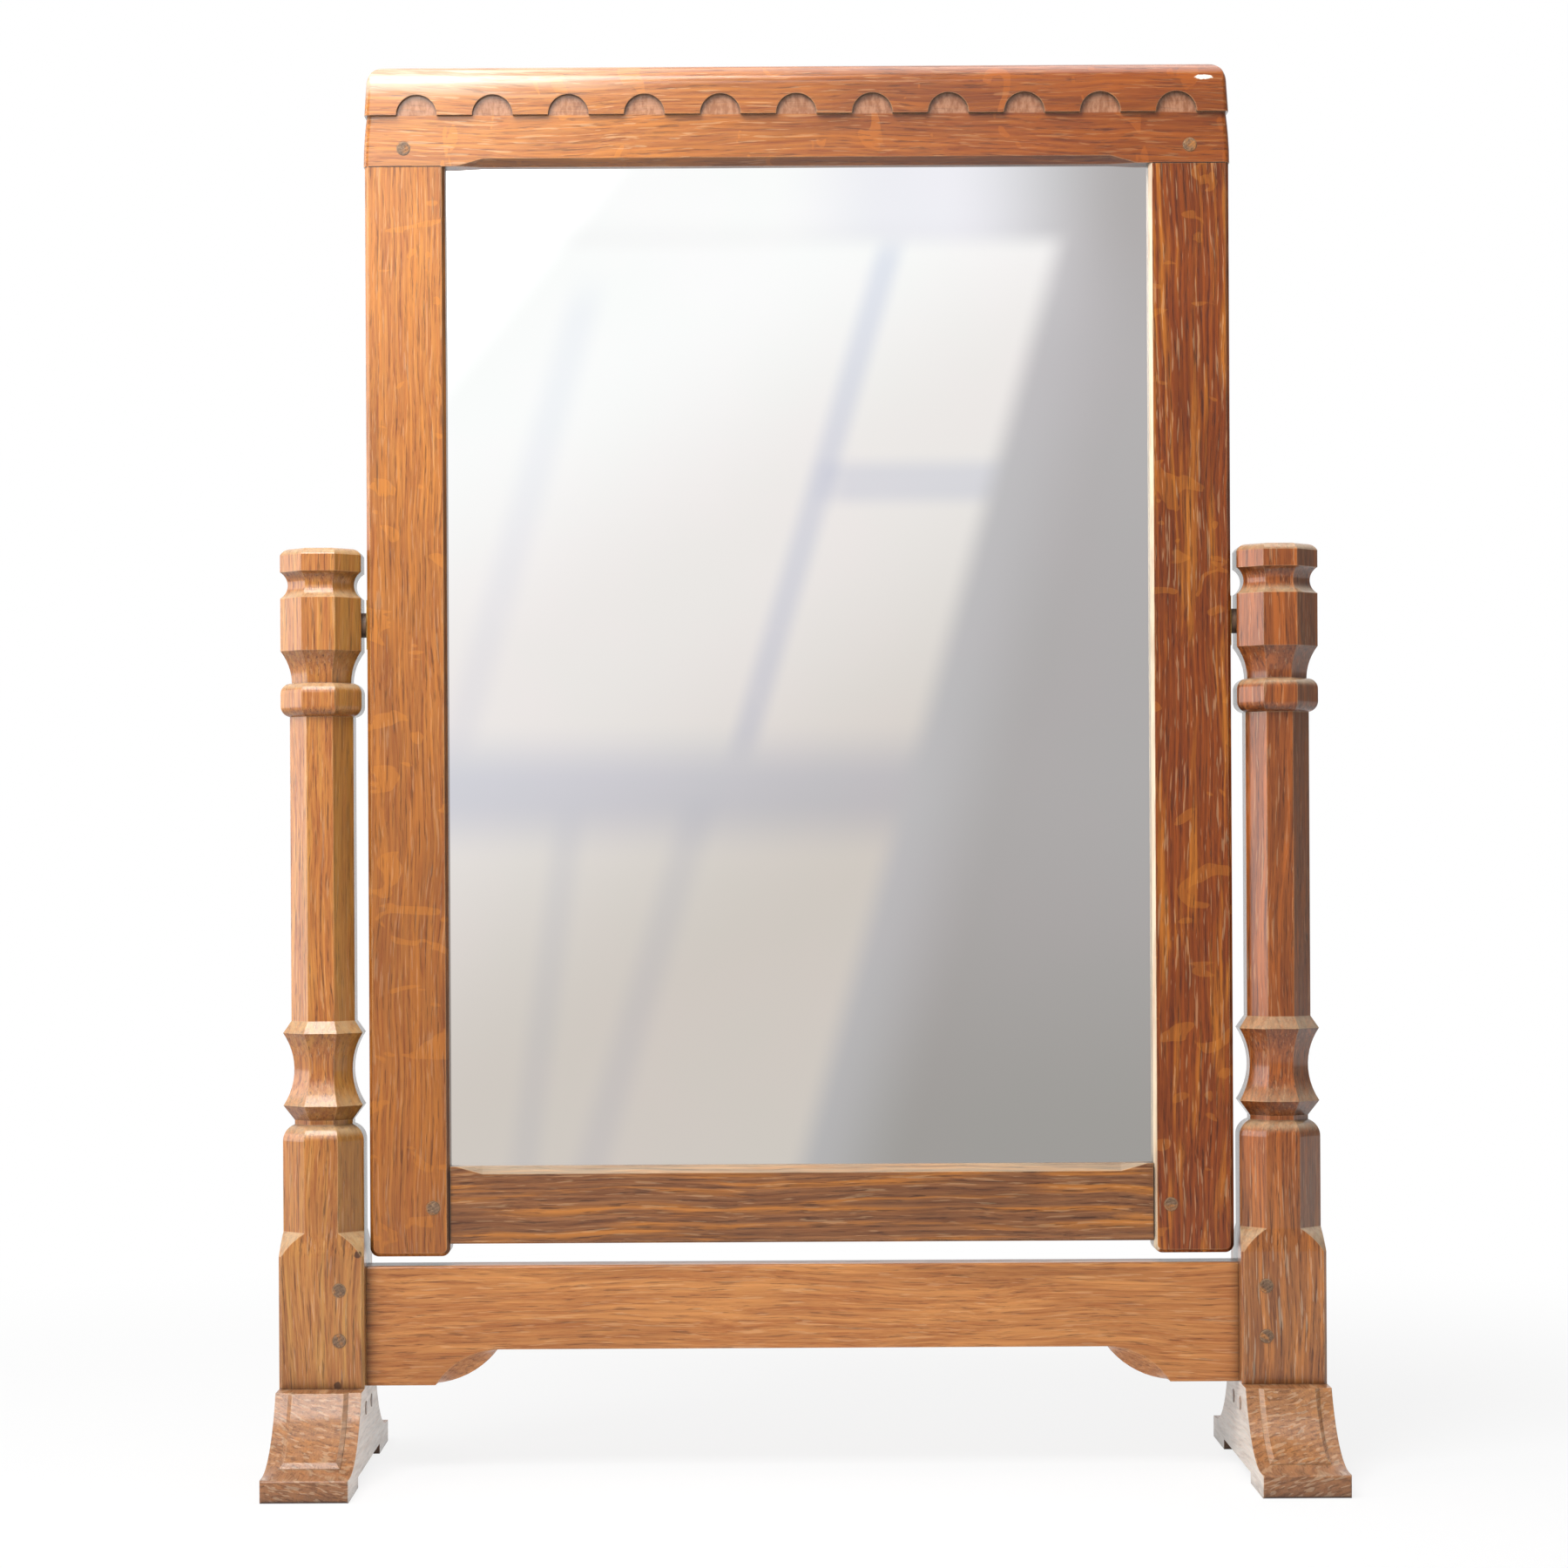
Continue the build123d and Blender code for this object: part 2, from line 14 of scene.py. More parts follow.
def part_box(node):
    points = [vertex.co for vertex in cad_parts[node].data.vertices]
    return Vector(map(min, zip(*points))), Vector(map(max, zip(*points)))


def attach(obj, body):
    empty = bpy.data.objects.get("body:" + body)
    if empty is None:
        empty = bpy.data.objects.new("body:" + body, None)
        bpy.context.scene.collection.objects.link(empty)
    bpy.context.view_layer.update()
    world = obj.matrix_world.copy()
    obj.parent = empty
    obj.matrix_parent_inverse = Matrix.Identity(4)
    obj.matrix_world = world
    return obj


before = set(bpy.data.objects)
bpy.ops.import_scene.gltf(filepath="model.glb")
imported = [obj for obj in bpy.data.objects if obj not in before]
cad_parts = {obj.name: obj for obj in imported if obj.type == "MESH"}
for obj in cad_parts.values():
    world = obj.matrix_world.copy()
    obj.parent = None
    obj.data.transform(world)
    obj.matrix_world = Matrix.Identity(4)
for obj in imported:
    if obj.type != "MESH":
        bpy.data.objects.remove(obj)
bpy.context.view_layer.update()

# %% [markdown]
# ## Camera
# The photograph was taken square on with a long lens, a little left of the middle and at about half the
# height. A long lens keeps the posts upright and nearly parallel. Its small shift, not a tilt, puts the
# mirror where it stands in the picture, and a third of a degree of roll matches a tripod that leans a bit.

# %% Camera
picture = 1800           # pixels along each side of the photograph
axis_px = (868, 984)     # the pixel that the lens looks at square on
focal_px = 4357          # focal length in the same pixels
sensor_mm = 36.0
distance = 2.0           # metres from the lens to the posts' axis
roll = 0.3               # degrees
lens = bpy.data.cameras.new("long_lens")
lens.sensor_width = sensor_mm
lens.lens = focal_px / picture * sensor_mm
lens.shift_x = (picture / 2 - axis_px[0]) / picture
lens.shift_y = (axis_px[1] - picture / 2) / picture
camera = bpy.data.objects.new("camera", lens)
camera.location = (-0.0231, -distance, 0.322)
camera.rotation_euler = (math.radians(90), math.radians(roll), 0)
bpy.context.scene.collection.objects.link(camera)
bpy.context.scene.camera = camera
bpy.context.scene.view_settings.view_transform = "Standard"
print("lens", round(lens.lens, 1), "mm, shift", round(lens.shift_x, 4), round(lens.shift_y, 4))

# %% [markdown]
# ## Small helpers for materials
# A node material is a recipe of many small steps. These helpers put one step down and wire it up, so that
# each recipe below reads from top to bottom like a list of what the finisher sees on the wood.


# %% Helpers for single steps
def linear(red, green, blue):
    """A colour picked on a screen, from 0 to 255, as the shader wants it."""
    parts = []
    for value in (red, green, blue):
        value /= 255
        parts.append(value / 12.92 if value < 0.04045 else ((value + 0.055) / 1.055) ** 2.4)
    return (*parts, 1.0)


def put(tree, kind, inputs=None, **settings):
    """Add a node, choose its settings and fill or link its inputs."""
    made = tree.nodes.new("ShaderNode" + kind)
    for key, value in settings.items():
        setattr(made, key, value)
    for key, value in (inputs or {}).items():
        if isinstance(value, bpy.types.NodeSocket):
            tree.links.new(value, made.inputs[key])
        else:
            made.inputs[key].default_value = value
    return made


def calc(tree, operation, first, second=0.0):
    return put(tree, "Math", {0: first, 1: second}, operation=operation).outputs[0]


def times(tree, first, second):
    return calc(tree, "MULTIPLY", first, second)


def vector(tree, operation, first, second):
    return put(tree, "VectorMath", {0: first, 1: second}, operation=operation).outputs[0]


def fade(tree, value, low, high, to_low=0.0, to_high=1.0):
    """Go smoothly from to_low to to_high while the value goes from low to high."""
    inputs = {0: value, 1: low, 2: high, 3: to_low, 4: to_high}
    return put(tree, "MapRange", inputs, interpolation_type="SMOOTHSTEP").outputs[0]


print("a mid brown is", [round(part, 3) for part in linear(150, 100, 60)[:3]], "to the shader")

# %% [markdown]
# A finisher works in layers: a tone over a tone, thick in one place and thin in the next. The next helpers
# do that. Clouds of noise say where a layer is thick, and they are drawn out along the grain like the
# marks of real wood.


# %% Helpers for layers and materials
def tint(tree, amount, under, over, mode="MIX"):
    inputs = {0: amount, 6: under, 7: over}
    return put(tree, "Mix", inputs, data_type="RGBA", blend_type=mode, clamp_factor=True).outputs[2]


def stain(tree, colour, mark, strength, over):
    """Lay another colour over this one where the mark is, with the given strength."""
    return tint(tree, times(tree, mark, strength), colour, over)


def cloud(tree, place, stretch, detail=2.0, roughness=0.5, distortion=0.0):
    """Noise whose blobs are drawn out: stretch counts blobs per millimetre along each axis."""
    inputs = {"Vector": vector(tree, "MULTIPLY", place, stretch), "Scale": 1.0, "Detail": detail,
              "Roughness": roughness, "Distortion": distortion}
    return put(tree, "TexNoise", inputs).outputs[0]


def shares(tree):
    """Where a point lies in its piece's box: shares from 0 to 1 of the width, depth and height."""
    return tuple(put(tree, "SeparateXYZ", {0: put(tree, "TexCoord").outputs["Generated"]}).outputs)


def blank_material(name):
    material = bpy.data.materials.new(name)
    material.use_nodes = True
    material.node_tree.nodes.clear()
    out = material.node_tree.nodes.new("ShaderNodeOutputMaterial")
    return material, material.node_tree, out


def new_material(name):
    material, tree, out = blank_material(name)
    shader = put(tree, "BsdfPrincipled")
    tree.links.new(shader.outputs[0], out.inputs[0])
    return material, tree, shader


def add_piece(name, mesh, material):
    """Put a mesh into the scene as one object of one material."""
    piece = bpy.data.objects.new(name, mesh)
    bpy.context.scene.collection.objects.link(piece)
    mesh.materials.append(material)
    return piece


print("helpers ready for Blender", bpy.app.version_string)

# %% [markdown]
# ## Waxed oak
# Oak shows three things at once: growth rings, long open pores, and the pale flakes of its rays, which
# shine where a board is cut towards the heart of the tree. A picture wrapped round the piece would break at
# every corner. A block of wood made of noise runs right through instead, so the end of a toe shows end
# grain and the slope of a foot shows pores cut short. Each board gets its own direction, place and colours.

# %% Place and marks in the board
GRAIN = {"x": (0.0, 0.0, 0.0), "y": (0.0, 0.0, math.radians(-90)), "z": (0.0, math.radians(90), 0.0)}


def board_place(tree, along, turn, start):
    """Millimetres in the board: x along the grain, y across the rays, z across the rings."""
    where = put(tree, "TexCoord").outputs["Object"]
    lined_up = put(tree, "Mapping", {0: where, 2: GRAIN[along], 3: (1.0, 1.0, 1.0)}).outputs[0]
    angles = tuple(math.radians(angle) for angle in turn)
    board = put(tree, "Mapping", {0: lined_up, 1: start, 2: angles, 3: (1000.0, 1000.0, 1000.0)}).outputs[0]
    slow = vector(tree, "MULTIPLY", board, (0.004, 0.011, 0.011))
    drift = put(tree, "TexNoise", {"Vector": slow, "Scale": 1.0, "Detail": 3.0}).outputs[1]
    drift = vector(tree, "SUBTRACT", drift, (0.5, 0.5, 0.5))
    drift = vector(tree, "MULTIPLY", drift, (4.0, 16.0, 24.0))
    return vector(tree, "ADD", board, drift)


def grain_marks(tree, place, ring_mm):
    """How strong each mark of the grain is at this place, from 0 to 1."""
    depth = put(tree, "SeparateXYZ", {0: place}).outputs[2]
    ring = calc(tree, "FRACT", calc(tree, "DIVIDE", depth, ring_mm))
    early = times(tree, fade(tree, ring, 0.0, 0.2), fade(tree, ring, 0.9, 0.3))
    pore = fade(tree, cloud(tree, place, (0.055, 1.25, 1.25), 2.0, 0.6), 0.55, 0.64)
    crowded = calc(tree, "ADD", times(tree, early, 0.6), 0.4)
    return {
        "early": early,
        "pore": times(tree, pore, crowded),
        "fibre": cloud(tree, place, (0.020, 0.85, 0.85), 6.0, 0.72),
        "band": cloud(tree, place, (0.010, 0.20, 0.20), 3.0, 0.55, 0.3),
        "wide": cloud(tree, place, (0.006, 0.03, 0.03), 2.0, 0.5),
        "ray": fade(tree, cloud(tree, place, (0.060, 0.085, 0.030), 2.0, 0.45, 0.9), 0.625, 0.640),
        "fleck": fade(tree, cloud(tree, place, (0.045, 0.75, 0.75), 2.0, 0.55), 0.60, 0.66),
    }


print("grain can run along", ", ".join(GRAIN))

# %% [markdown]
# Now the colours go on. The fibres run between a middle and a pale tone, and each mark adds its own: dark
# streaks and early wood, golden bands and ray flakes, pores almost black with old wax, and pale flecks where
# wax has turned white. Every board starts from the plain list and changes only what makes it different.

# %% Colours of the wood
PLAIN_OAK = {
    "turn": (8, 0, 0), "start": (0, 0, 0),                        # how and where the board was cut
    "ring_mm": 3.2, "rings": 0.35, "streaks": 0.55, "patches": 0.3,
    "flakes": 0.0, "pores": 0.6, "flecks": 0.15, "gold": (222, 138, 46),
    "shine": 0.3, "wax": 0.4,                                     # roughness, and how thick the wax lies
    "fall": None, "touch": None,                                  # a slow change of tone, mostly painted shade and sheen, and marks of use with painted light and shade
}


def wood_colour(tree, mark, colours, look):
    """The tones of the wood itself, each mark laid over the ones before."""
    pale, middle, dark = (linear(*tone) for tone in colours)
    gold = linear(*look["gold"])
    colour = tint(tree, fade(tree, mark["fibre"], 0.34, 0.64), middle, pale)
    colour = stain(tree, colour, fade(tree, mark["wide"], 0.45, 0.70), look["patches"], dark)
    colour = stain(tree, colour, fade(tree, mark["band"], 0.48, 0.66), 0.5, gold)
    colour = stain(tree, colour, mark["early"], look["rings"], dark)
    colour = stain(tree, colour, fade(tree, mark["fibre"], 0.43, 0.33), look["streaks"], dark)
    colour = stain(tree, colour, mark["ray"], look["flakes"], gold)
    colour = stain(tree, colour, mark["pore"], look["pores"], linear(48, 20, 6))
    return stain(tree, colour, mark["fleck"], look["flecks"], linear(246, 206, 156))


def wear_and_painted_shade(tree, wide, colour, rounded):
    """Pale where the arrises are worn, and dark in each corner and hollow: dust and wax, deepened by painted
    shade.
    """
    straight = put(tree, "NewGeometry").outputs["Normal"]
    same = put(tree, "VectorMath", {0: rounded, 1: straight}, operation="DOT_PRODUCT").outputs["Value"]
    worn = times(tree, fade(tree, same, 0.995, 0.88), fade(tree, wide, 0.3, 0.6, 0.15, 0.5))
    colour = tint(tree, worn, colour, linear(236, 190, 138))
    # Painted shade: ambient occlusion darkens each corner and hollow towards near black, over the dust and
    # wax there.
    corner = put(tree, "AmbientOcclusion", {"Distance": 0.010}, samples=6).outputs["AO"]
    return stain(tree, colour, fade(tree, corner, 0.80, 0.30), 0.85, linear(28, 14, 7))


print("plain oak has rings of", PLAIN_OAK["ring_mm"], "mm")

# %% [markdown]
# The surface is wax over planed wood. Pores and fibres are felt as tiny hollows, a hand plane leaves long
# shallow waves, and arrises are rounded by about a millimetre. Wax is a thin clear coat, so it is shinier
# than the wood under it. With that, one recipe makes every board.


# %% Waxed surface and the whole board
def waxed(tree, shader, mark, place, rounded, look):
    rough = fade(tree, mark["fibre"], 0.3, 0.7, look["shine"] + 0.16, look["shine"])
    rough = calc(tree, "ADD", rough, times(tree, mark["pore"], 0.2))
    tree.links.new(rough, shader.inputs["Roughness"])
    planed = cloud(tree, place, (0.03, 0.09, 0.09), 2.0, 0.5)
    height = calc(tree, "SUBTRACT", times(tree, mark["fibre"], 0.6), times(tree, mark["pore"], 0.7))
    height = calc(tree, "ADD", height, times(tree, planed, 3.5))
    bump = put(tree, "Bump", {"Height": height, "Normal": rounded, "Strength": 0.6, "Distance": 0.0003})
    tree.links.new(bump.outputs[0], shader.inputs["Normal"])
    shader.inputs["IOR"].default_value = 1.32
    shader.inputs["Coat Weight"].default_value = look["wax"]
    shader.inputs["Coat Roughness"].default_value = 0.15


def oak(name, along, colours, **changes):
    """One board, its grain along x, y or z. Changes are entries of PLAIN_OAK."""
    look = {**PLAIN_OAK, **changes}
    material, tree, shader = new_material(name)
    place = board_place(tree, along, look["turn"], look["start"])
    mark = grain_marks(tree, place, look["ring_mm"])
    colour = wood_colour(tree, mark, colours, look)
    if look["fall"]:
        axis, first, last, tone = look["fall"]
        amount = fade(tree, shares(tree)[axis], first, last)
        colour = tint(tree, amount, colour, (*tone, 1.0), "MULTIPLY")
    if look["touch"]:
        colour = look["touch"](tree, place, colour)
    rounded = put(tree, "Bevel", {"Radius": 0.0009}, samples=4).outputs[0]
    tree.links.new(wear_and_painted_shade(tree, mark["wide"], colour, rounded), shader.inputs["Base Color"])
    waxed(tree, shader, mark, place, rounded, look)
    return material


print("a board can change", len(PLAIN_OAK), "things")

# %% [markdown]
# ## Marks of use and painted light
# Wood that is handled for years changes unevenly, and a knock leaves a small ragged spot. Two helpers make
# marks: one finds such a place on the front, the other paints light and shade by the way a face leans: a
# pale tone where it turns to the lamps, a dark one where it turns away.


# %% Spots and bevels
def spot(tree, place, middle, half):
    """A small ragged patch on the front: middle and half size as shares of the width and height."""
    where = shares(tree)
    ragged = calc(tree, "SUBTRACT", cloud(tree, place, (0.5, 0.5, 0.5), 3.0, 0.6), 0.5)
    across = calc(tree, "DIVIDE", calc(tree, "SUBTRACT", where[0], middle[0]), half[0])
    up = calc(tree, "DIVIDE", calc(tree, "SUBTRACT", where[2], middle[1]), half[1])
    far = calc(tree, "ADD", times(tree, across, across), times(tree, up, up))
    inside = fade(tree, calc(tree, "ADD", far, times(tree, ragged, 1.6)), 1.1, 0.6)
    on_front = fade(tree, where[1], 0.35, 0.3)
    return times(tree, inside, on_front)


def painted_facing_light(axis, towards, amount, shade, low=0.25, high=0.5):
    """Painted light and shade: another tone for faces that lean along an axis (0, 1 or 2), towards 1 or -1.
    """
    def touch(tree, place, colour):
        lean = put(tree, "SeparateXYZ", {0: put(tree, "TexCoord").outputs["Normal"]}).outputs[axis]
        on_bevel = fade(tree, times(tree, lean, towards), low, high)
        patchy = fade(tree, cloud(tree, place, (0.02, 0.3, 0.3), 3.0, 0.6), 0.3, 0.6, 0.6, 1.0)
        return stain(tree, colour, on_bevel, times(tree, patchy, amount), shade)
    return touch


# Painted shade for the faces that turn down.
painted_underside_shade = linear(52, 26, 12)
print("marks of use ready, lower bevels in", [round(part, 3) for part in painted_underside_shade[:3]])

# %% [markdown]
# The crest rail has the most to show. The floors of its lunettes were cut with a gouge and never got the
# wax of the proud band, so they stay dull and pale. The upper left end gets a painted highlight, nearly
# white, and a chip is missing near the right end. Faces turned down get painted shade. The places come from
# the rail's own box.

# %% Wear of the crest rail
band_height = 0.0265        # the proud band, measured down from the top of the rail
lunette_height = 0.0112     # a lunette, measured up from the band's lower edge
cut_depth = 0.0025          # how deep a lunette is cut
rail_low, rail_high = (Vector(corner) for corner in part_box("top_rail"))
crest_low = 1 - band_height / (rail_high.z - rail_low.z)
lunette_top = crest_low + lunette_height / (rail_high.z - rail_low.z)
floor_deep = cut_depth / (rail_high.y - rail_low.y)


def crest_wear_and_painted_light(tree, place, colour):
    along, depth, height = shares(tree)
    inside = times(tree, fade(tree, height, crest_low - 0.01, crest_low + 0.01),
                   fade(tree, height, lunette_top, lunette_top - 0.005))
    off_floor = calc(tree, "ABSOLUTE", calc(tree, "SUBTRACT", depth, floor_deep))
    inside = times(tree, inside, fade(tree, off_floor, 0.012, 0.006))
    gouged = fade(tree, cloud(tree, place, (0.5, 0.5, 0.16), 3.0, 0.6), 0.35, 0.65)
    dusty = tint(tree, gouged, linear(150, 100, 70), linear(190, 140, 108))
    colour = stain(tree, colour, inside, 0.75, dusty)
    # A painted highlight, nearly white, on the upper left end.
    painted_highlight = times(tree, fade(tree, along, 0.42, 0.05), fade(tree, height, 0.60, 0.85))
    patchy = fade(tree, cloud(tree, place, (0.015, 0.25, 0.25), 4.0, 0.6), 0.35, 0.6, 0.15, 0.6)
    colour = stain(tree, colour, painted_highlight, patchy, linear(252, 232, 206))
    chip = spot(tree, place, (0.969, 0.838), (0.011, 0.026))
    colour = tint(tree, chip, colour, linear(250, 240, 222))
    # Painted shade on the faces that turn down.
    return painted_facing_light(2, -1, 0.6, painted_underside_shade)(tree, place, colour)


print("lunettes from", round(crest_low, 3), "to", round(lunette_top, 3), "of the rail's height")

# %% [markdown]
# A post gets painted shade on the facets that turn away from the light and on the faces under each ledge,
# and a painted highlight on the faces that turn up. On the slope of a foot the pores are cut across, and old
# wax has filled them pale. The feet's inner sides are painted nearly white, a painted reflection of the
# white floor.


# %% Wear of the posts and feet
def post_knots_and_painted_light(shaded_side_tone, shaded_underside_tone, knots=()):
    """Knots are small and dark: the middle and half size of each as shares of the post."""
    def touch(tree, place, colour):
        # Painted shade on facets turned right, a painted highlight on faces turned up, painted shade on faces
        # turned down.
        colour = painted_facing_light(0, 1, 0.5, shaded_side_tone, 0.3, 0.6)(tree, place, colour)
        colour = painted_facing_light(2, 1, 0.45, linear(222, 200, 160), 0.2, 0.7)(tree, place, colour)
        colour = painted_facing_light(2, -1, 0.5, shaded_underside_tone, 0.2, 0.7)(tree, place, colour)
        for middle, half in knots:
            colour = stain(tree, colour, spot(tree, place, middle, half), 0.8, linear(52, 28, 16))
        return colour
    return touch


def foot_pores_and_painted_light(inward):
    def touch(tree, place, colour):
        filled = fade(tree, cloud(tree, place, (0.06, 0.17, 0.75), 1.0, 0.5), 0.57, 0.63)
        shade = fade(tree, cloud(tree, place, (0.05, 0.20, 0.90), 2.0, 0.5), 0.5, 0.36)
        colour = tint(tree, 0.5, colour, linear(156, 118, 86))
        colour = stain(tree, colour, shade, 0.5, linear(92, 54, 34))
        colour = stain(tree, colour, filled, 0.26, linear(226, 200, 166))
        # A painted reflection: the inner side is painted nearly white, for the white floor.
        return painted_facing_light(0, inward, 0.6, linear(244, 238, 226), 0.6, 0.9)(tree, place, colour)
    return touch


left_knots = (((0.686, 0.067), (0.05, 0.005)), ((0.93, 0.2126), (0.05, 0.004)))
print("left post has", len(left_knots), "knots")

# %% [markdown]
# ## One board for each member
# Two boards are never alike. The left stile is the palest, partly painted window light, the right one is
# redder and darker, partly painted shade, and the bottom rail is smoky. The grain follows each piece's
# length, as a joiner lays it for strength: up the stiles and along the rails.

# %% Boards of the swinging frame
# Honey and russet differ partly as wood and partly as painted light and shade, lighter left, darker right.
honey = ((208, 134, 56), (178, 100, 36), (116, 56, 20))
russet = ((154, 76, 24), (122, 52, 15), (68, 26, 8))
smoky = ((154, 102, 62), (124, 74, 40), (76, 42, 24))
quiet = {"streaks": 0.32, "rings": 0.22, "pores": 0.5}
boards = {
    # The top rail's fall darkens it towards its right end, a painted shade.
    "top_rail": oak("oak_top_rail", "x", honey, turn=(14, 0, 0.6), start=(30, 5, 0), **quiet,
                    flakes=0.55, patches=0.45, flecks=0.30, wax=0.9, shine=0.26,
                    fall=(0, 0.0, 0.9, (0.58, 0.40, 0.28)), touch=crest_wear_and_painted_light),
    # The left stile's fall darkens it towards the bottom, a painted shade, and its faces turned right get a
    # dark painted shade.
    "left_stile": oak("oak_left_stile", "z", honey, turn=(10, 0, -0.5), start=(0, 40, 8), **quiet,
                      flakes=0.45, patches=0.4, flecks=0.16, wax=0.6,
                      fall=(2, 1.0, 0.1, (0.72, 0.68, 0.72)),
                      touch=painted_facing_light(0, 1, 0.75, linear(46, 24, 12))),
    # The right stile's faces turned left get a cream painted highlight.
    "right_stile": oak("oak_right_stile", "z", russet, turn=(12, 0, 0.4), start=(260, 90, 3),
                       flakes=0.2, flecks=0.20, touch=painted_facing_light(0, -1, 0.8, linear(238, 222, 192))),
    # The bottom rail's faces turned up get a pale painted highlight.
    "bottom_rail": oak("oak_bottom_rail", "x", smoky, turn=(24, 0, 0.8), start=(90, 33, 61),
                       touch=painted_facing_light(2, 1, 0.5, linear(186, 170, 140))),
}
print("frame boards", ", ".join(boards))

# %% [markdown]
# The stand is built from other boards. The left post has an olive tone and the right one is dark umber, and
# both have a painted sheen that makes them paler and greyer towards the floor. Their facets get painted
# light and shade by the way they lean. The base rail is calm, plain wood. In the feet the grain runs from
# heel to toe, so that the toes can't split off.

# %% Boards of the stand
amber = ((200, 134, 74), (172, 102, 50), (112, 60, 28))
olive = ((200, 128, 56), (162, 88, 34), (92, 48, 20))
umber = ((164, 90, 38), (126, 60, 22), (62, 30, 12))
boards["base_rail"] = oak("oak_base_rail", "x", amber, turn=(18, 0, -0.7), start=(17, 71, 9),
                          streaks=0.2, rings=0.15, pores=0.45, gold=(222, 152, 84))
# Each post's fall makes it paler and greyer towards the floor, a painted sheen.
boards["left_post"] = oak("oak_left_post", "z", olive, turn=(20, 0, 0), start=(50, 12, 77), rings=0.12,
                          streaks=0.4, gold=(214, 150, 66), wax=0.7, fall=(2, 0.4, 0.1, (0.95, 1.1, 1.5)),
                          touch=post_knots_and_painted_light(linear(150, 112, 52), linear(84, 54, 34), left_knots))
boards["right_post"] = oak("oak_right_post", "z", umber, turn=(32, 0, 0), start=(81, 19, 23), rings=0.15,
                           gold=(206, 112, 42), wax=0.8, fall=(2, 0.4, 0.1, (1.15, 1.6, 2.2)),
                           touch=post_knots_and_painted_light(linear(96, 76, 58), linear(50, 32, 22)))
boards["left_foot"] = oak("oak_left_foot", "y", amber, turn=(-16, 0, 0), start=(11, 64, 5),
                          fall=(2, 0.32, 0.2, (0.72, 0.62, 0.66)), touch=foot_pores_and_painted_light(1))
boards["right_foot"] = oak("oak_right_foot", "y", amber, turn=(20, 0, 0), start=(93, 24, 41),
                           fall=(2, 0.32, 0.2, (0.62, 0.52, 0.54)), touch=foot_pores_and_painted_light(-1))
print("boards so far", len(boards))

# %% [markdown]
# Pegs are split from straight oak and driven with the grain along them, so the front shows end grain that
# has gone grey. The glass slips are softwood, and the back is one thin board of plainer oak that nobody
# waxed. At the end every piece gets its wood through its own material slots.

# %% Pegs, slips and back board
grey_oak = ((144, 114, 88), (112, 84, 62), (70, 50, 36))
for name, along, pegs in (("oak_pegs", "y", ("frame_pegs", "post_pegs")),
                          ("oak_side_pegs", "x", ("left_foot_pegs", "right_foot_pegs"))):
    peg_oak = oak(name, along, grey_oak, turn=(30, 0, 0), flakes=0.2, streaks=0.5, ring_mm=1.6)
    for node in pegs:
        boards[node] = peg_oak
boards["glass_slips"] = oak("softwood_slips", "z", ((226, 190, 140), (204, 160, 108), (160, 112, 70)),
                            flakes=0.1, pores=0.1, ring_mm=4.5, shine=0.5)
boards["back_panel"] = oak("oiled_back_board", "z", ((176, 130, 88), (152, 108, 70), (112, 74, 46)),
                           turn=(70, 0, 0.3), start=(5, 3, 140), ring_mm=7.0, shine=0.5,
                           gold=(178, 128, 78), streaks=0.35)


def dress(node, material):
    """Give a model piece its finish through its own material slots."""
    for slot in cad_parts[node].material_slots:
        slot.material = material


for node, material in boards.items():
    dress(node, material)
print(len(boards), "pieces have their wood")

# %% [markdown]
# ## The looking glass
# A mirror is a sheet of glass with silver behind it. What the eye sees is nearly all silver, so the recipe is
# a metal with almost no roughness, the faint green of the glass, and a breath of haze where a cloth has
# passed.


# %% Mirror glass
def silvered_glass():
    material, tree, shader = new_material("silvered_glass")
    where = put(tree, "TexCoord").outputs["Object"]
    haze = put(tree, "TexNoise", {"Vector": where, "Scale": 9.0, "Detail": 3.0, "Roughness": 0.6}).outputs[0]
    wiped = put(tree, "TexNoise", {"Vector": where, "Scale": 34.0, "Detail": 2.0, "Distortion": 1.5})
    rough = fade(tree, times(tree, haze, wiped.outputs[0]), 0.15, 0.5, 0.0, 0.035)
    tree.links.new(rough, shader.inputs["Roughness"])
    colour = tint(tree, fade(tree, haze, 0.35, 0.7), linear(250, 252, 251), linear(252, 252, 252))
    tree.links.new(colour, shader.inputs["Base Color"])
    shader.inputs["Metallic"].default_value = 1.0
    return material


dress("mirror_glass", silvered_glass())
print("the glass is silvered")

# %% [markdown]
# ## Brass, steel and fibre
# The pivots hide in the gap between frame and post. The plate and bush are brass that has gone brown in its
# corners, the pin is steel polished by turning, and the washer is dark fibre, which gives the friction that
# holds the mirror at any tilt.


